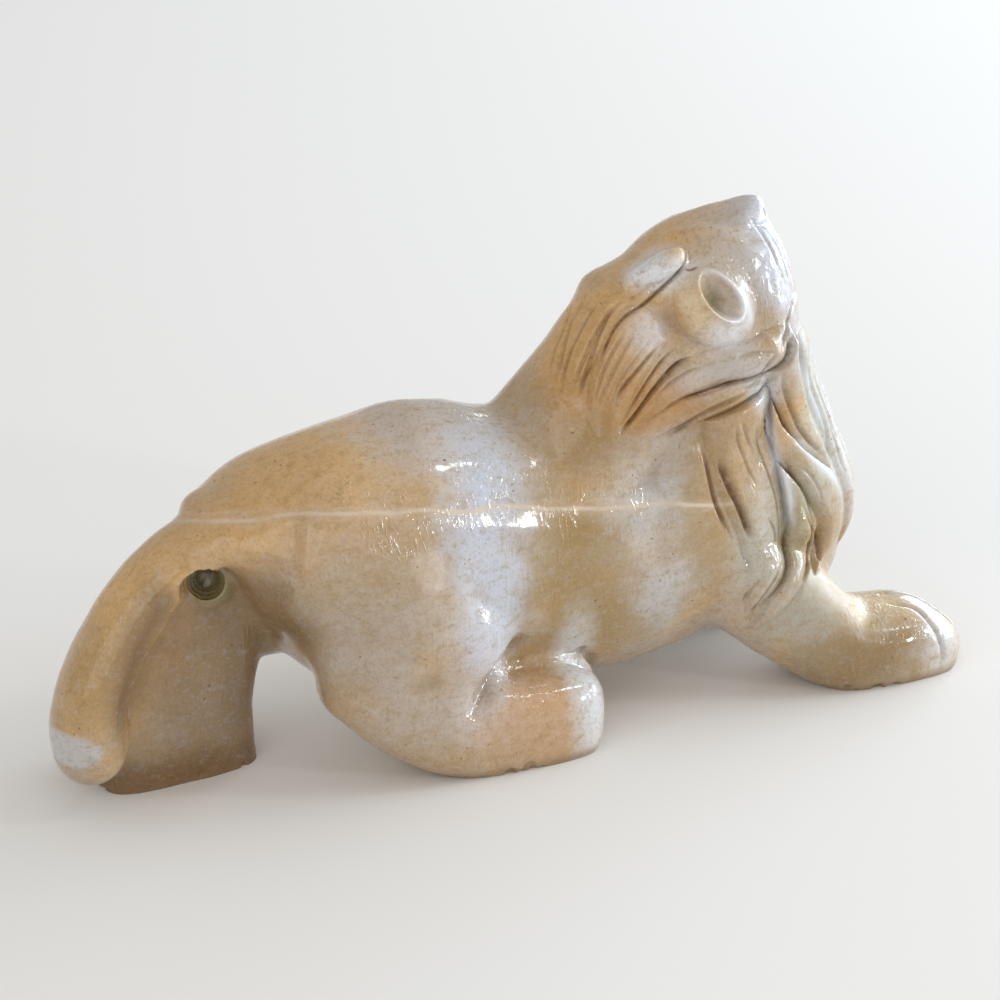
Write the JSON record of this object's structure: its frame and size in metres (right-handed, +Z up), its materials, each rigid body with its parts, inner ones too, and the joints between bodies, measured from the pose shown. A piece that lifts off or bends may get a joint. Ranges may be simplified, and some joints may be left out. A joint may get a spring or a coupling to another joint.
{
  "type": "guardian lion statue",
  "caption": "Recumbent guardian lion carved from one piece of polished veined stone, chin raised, mane in locks, one hind leg stretched back under a thick hanging tail.",
  "frame": {"origin": "centre of the bounding box on the floor the soles stand on", "axes": "+X toward the lion's head along its length, +Y toward its left side, where one hind leg is stretched back, +Z up"},
  "size_m": [0.108, 0.0338, 0.0577],
  "materials": {
    "stone": "polished"
  },
  "bodies": {
    "root": {"lion": "stone"}
  },
  "joints": []
}
